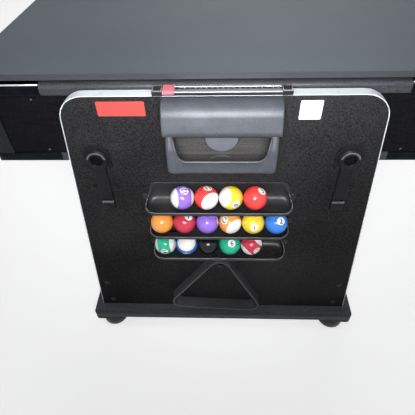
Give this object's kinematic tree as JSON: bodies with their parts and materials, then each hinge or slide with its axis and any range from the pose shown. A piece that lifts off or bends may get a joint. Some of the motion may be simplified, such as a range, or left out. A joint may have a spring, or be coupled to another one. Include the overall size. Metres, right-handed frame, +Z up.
{
  "type": "multi-game table",
  "caption": "Revolving multi-game table: a two-sided pool and hockey body turns between end panels under a lift-off table-tennis top, with ball racks on one end.",
  "frame": {"origin": "on the floor, under the middle of the table", "axes": "+X across the table, +Y along it away from the ball racks, +Z up"},
  "size_m": [0.97, 1.9409, 0.8],
  "materials": {
    "black_laminate": "fine-grained black laminate",
    "silver_edge": "satin silver edging",
    "plinth_laminate": "black laminate",
    "bearing_metal": "dark bush",
    "hood_plastic": "textured grey plastic",
    "score_metal": "satin",
    "lock_plastic": "moulded black plastic",
    "rack_plastic": "moulded black plastic",
    "peg_metal": "blackened steel",
    "bolt_steel": "dark plated",
    "apron_laminate": "black laminate",
    "bare_board": "bare board",
    "pool_cloth_board": "board under blue cloth",
    "hockey_board": "white laminate",
    "rail_laminate": "black laminate",
    "cushion_rubber": "rubber under blue cloth",
    "chrome_casting": "bright plated",
    "post_aluminium": "satin",
    "cup_plastic": "black plastic",
    "spindle_steel": "grey-painted end disc",
    "top_board": "slate-grey board with white edge lines",
    "red_plastic": "red plastic",
    "triangle_plastic": "black plastic",
    "knob_plastic": "black plastic",
    "foot_plastic": "glossy black",
    "ball_yellow": "polished ball",
    "ball_blue": "polished ball",
    "ball_red": "polished ball",
    "ball_purple": "polished ball",
    "ball_orange": "polished ball",
    "ball_green": "polished ball",
    "ball_maroon": "polished ball",
    "ball_black": "polished ball"
  },
  "bodies": {
    "frame": {"front_end_panel": "black_laminate", "back_end_panel": "black_laminate", "edge_trims": "silver_edge", "front_plinth": "plinth_laminate", "back_plinth": "plinth_laminate", "stretchers": "black_laminate", "pivot_bearings": "bearing_metal", "front_hood": "hood_plastic", "back_hood": "hood_plastic", "front_score_rail": "score_metal", "back_score_rail": "score_metal", "lock_housings": "lock_plastic", "upper_ball_rack": "rack_plastic", "middle_ball_rack": "rack_plastic", "lower_ball_rack": "rack_plastic", "triangle_peg": "peg_metal", "panel_bolts": "bolt_steel"},
    "play_body": {"side_aprons": "apron_laminate", "end_aprons": "apron_laminate", "bed_joists": "bare_board", "pool_bed": "pool_cloth_board", "hockey_bed": "hockey_board", "pool_rails": "rail_laminate", "hockey_rails": "rail_laminate", "cushions": "cushion_rubber", "corner_castings": "chrome_casting", "corner_posts": "post_aluminium", "pocket_cups": "cup_plastic", "goal_boxes": "cup_plastic", "blower": "cup_plastic", "blower_grille": "lock_plastic", "pivot_spindles": "spindle_steel"},
    "front_top": {"front_top_half": "top_board"},
    "back_top": {"back_top_half": "top_board"},
    "front_slider": {"front_score_slider": "red_plastic"},
    "back_slider": {"back_score_slider": "red_plastic"},
    "front_left_lock": {"front_left_lock_pin": "knob_plastic"},
    "front_right_lock": {"front_right_lock_pin": "knob_plastic"},
    "back_left_lock": {"back_left_lock_pin": "knob_plastic"},
    "back_right_lock": {"back_right_lock_pin": "knob_plastic"},
    "front_left_leveller": {"front_left_foot": "foot_plastic"},
    "front_right_leveller": {"front_right_foot": "foot_plastic"},
    "back_left_leveller": {"back_left_foot": "foot_plastic"},
    "back_right_leveller": {"back_right_foot": "foot_plastic"},
    "triangle": {"ball_triangle": "triangle_plastic"},
    "ball_12": {"ball_12": "ball_purple"},
    "ball_11": {"ball_11": "ball_red"},
    "ball_09": {"ball_09": "ball_yellow"},
    "ball_03": {"ball_03": "ball_red"},
    "ball_05": {"ball_05": "ball_orange"},
    "ball_07": {"ball_07": "ball_maroon"},
    "ball_04": {"ball_04": "ball_purple"},
    "ball_13": {"ball_13": "ball_orange"},
    "ball_01": {"ball_01": "ball_yellow"},
    "ball_02": {"ball_02": "ball_blue"},
    "ball_14": {"ball_14": "ball_green"},
    "ball_10": {"ball_10": "ball_blue"},
    "ball_08": {"ball_08": "ball_black"},
    "ball_06": {"ball_06": "ball_green"},
    "ball_15": {"ball_15": "ball_maroon"}
  },
  "joints": [
    {"name": "body_turn", "type": "hinge", "parent": "frame", "child": "play_body", "pos_m": [0, 0, 0.6905], "axis": [0, 1, 0], "range_deg": [0, 180]},
    {"name": "front_top_lift", "type": "slide", "parent": "play_body", "child": "front_top", "axis": [0, 0, 1], "range_m": [0, 0.12]},
    {"name": "back_top_lift", "type": "slide", "parent": "play_body", "child": "back_top", "axis": [0, 0, 1], "range_m": [0, 0.12]},
    {"name": "front_score_slide", "type": "slide", "parent": "frame", "child": "front_slider", "axis": [1, 0, 0], "range_m": [0, 0.1889]},
    {"name": "back_score_slide", "type": "slide", "parent": "frame", "child": "back_slider", "axis": [-1, 0, 0], "range_m": [0, 0.1889]},
    {"name": "front_left_lock_push", "type": "slide", "parent": "frame", "child": "front_left_lock", "axis": [0, 1, 0], "range_m": [0, 0.02]},
    {"name": "front_right_lock_push", "type": "slide", "parent": "frame", "child": "front_right_lock", "axis": [0, 1, 0], "range_m": [0, 0.02]},
    {"name": "back_left_lock_push", "type": "slide", "parent": "frame", "child": "back_left_lock", "axis": [0, -1, 0], "range_m": [0, 0.02]},
    {"name": "back_right_lock_push", "type": "slide", "parent": "frame", "child": "back_right_lock", "axis": [0, -1, 0], "range_m": [0, 0.02]},
    {"name": "front_left_foot_turn", "type": "hinge", "parent": "frame", "child": "front_left_leveller", "pos_m": [-0.337, -0.905, 0], "axis": [0, 0, 1], "continuous": true},
    {"name": "front_right_foot_turn", "type": "hinge", "parent": "frame", "child": "front_right_leveller", "pos_m": [0.337, -0.905, 0], "axis": [0, 0, 1], "continuous": true},
    {"name": "back_left_foot_turn", "type": "hinge", "parent": "frame", "child": "back_left_leveller", "pos_m": [-0.337, 0.905, 0], "axis": [0, 0, 1], "continuous": true},
    {"name": "back_right_foot_turn", "type": "hinge", "parent": "frame", "child": "back_right_leveller", "pos_m": [0.337, 0.905, 0], "axis": [0, 0, 1], "continuous": true},
    {"name": "triangle_pull", "type": "slide", "parent": "frame", "child": "triangle", "axis": [0, -1, 0], "range_m": [0, 0.06]},
    {"name": "ball_12_lift", "type": "slide", "parent": "frame", "child": "ball_12", "axis": [0, -0.866, 0.5], "range_m": [0, 0.07]},
    {"name": "ball_11_lift", "type": "slide", "parent": "frame", "child": "ball_11", "axis": [0, -0.866, 0.5], "range_m": [0, 0.07]},
    {"name": "ball_09_lift", "type": "slide", "parent": "frame", "child": "ball_09", "axis": [0, -0.866, 0.5], "range_m": [0, 0.07]},
    {"name": "ball_03_lift", "type": "slide", "parent": "frame", "child": "ball_03", "axis": [0, -0.866, 0.5], "range_m": [0, 0.07]},
    {"name": "ball_05_lift", "type": "slide", "parent": "frame", "child": "ball_05", "axis": [0, -0.866, 0.5], "range_m": [0, 0.07]},
    {"name": "ball_07_lift", "type": "slide", "parent": "frame", "child": "ball_07", "axis": [0, -0.866, 0.5], "range_m": [0, 0.07]},
    {"name": "ball_04_lift", "type": "slide", "parent": "frame", "child": "ball_04", "axis": [0, -0.866, 0.5], "range_m": [0, 0.07]},
    {"name": "ball_13_lift", "type": "slide", "parent": "frame", "child": "ball_13", "axis": [0, -0.866, 0.5], "range_m": [0, 0.07]},
    {"name": "ball_01_lift", "type": "slide", "parent": "frame", "child": "ball_01", "axis": [0, -0.866, 0.5], "range_m": [0, 0.07]},
    {"name": "ball_02_lift", "type": "slide", "parent": "frame", "child": "ball_02", "axis": [0, -0.866, 0.5], "range_m": [0, 0.07]},
    {"name": "ball_14_lift", "type": "slide", "parent": "frame", "child": "ball_14", "axis": [0, -0.866, 0.5], "range_m": [0, 0.07]},
    {"name": "ball_10_lift", "type": "slide", "parent": "frame", "child": "ball_10", "axis": [0, -0.866, 0.5], "range_m": [0, 0.07]},
    {"name": "ball_08_lift", "type": "slide", "parent": "frame", "child": "ball_08", "axis": [0, -0.866, 0.5], "range_m": [0, 0.07]},
    {"name": "ball_06_lift", "type": "slide", "parent": "frame", "child": "ball_06", "axis": [0, -0.866, 0.5], "range_m": [0, 0.07]},
    {"name": "ball_15_lift", "type": "slide", "parent": "frame", "child": "ball_15", "axis": [0, -0.866, 0.5], "range_m": [0, 0.07]}
  ]
}
